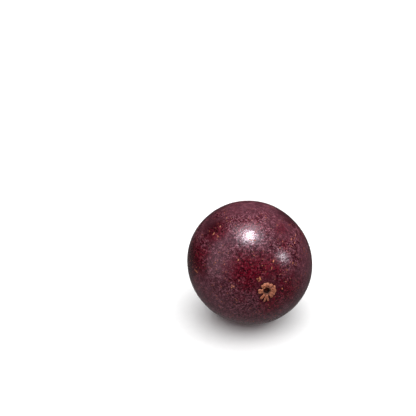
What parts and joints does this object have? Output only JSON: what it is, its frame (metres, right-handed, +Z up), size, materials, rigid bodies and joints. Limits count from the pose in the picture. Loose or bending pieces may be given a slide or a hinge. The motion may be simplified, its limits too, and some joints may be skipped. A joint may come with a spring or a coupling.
{
  "type": "indian plum",
  "caption": "Whole ripe Indian plum: a dark, slightly flattened round berry lying on its side on a small flat spot, with a ring of dried stigmas at its tip and a corky stem scar behind.",
  "frame": {"origin": "middle of the small flat spot that the fruit rests on", "axes": "+Z up out of the surface it rests on; the fruit's axis runs parallel to the YZ plane and 0.6 mm beside it, with the tip and its stigmas towards -Y and 5 degrees up, and the stem scar towards +Y; +X to the right of someone who looks at the tip"},
  "size_m": [0.0239, 0.0229, 0.0237],
  "materials": {
    "skin": "dark maroon purple fruit skin, satin and waxy, with a thin grey bloom, fine rusty specks and streaks",
    "cork": "dry tan cork, matt and cracked"
  },
  "bodies": {
    "root": {"fruit": "skin", "style_rosette": "cork"}
  },
  "joints": []
}
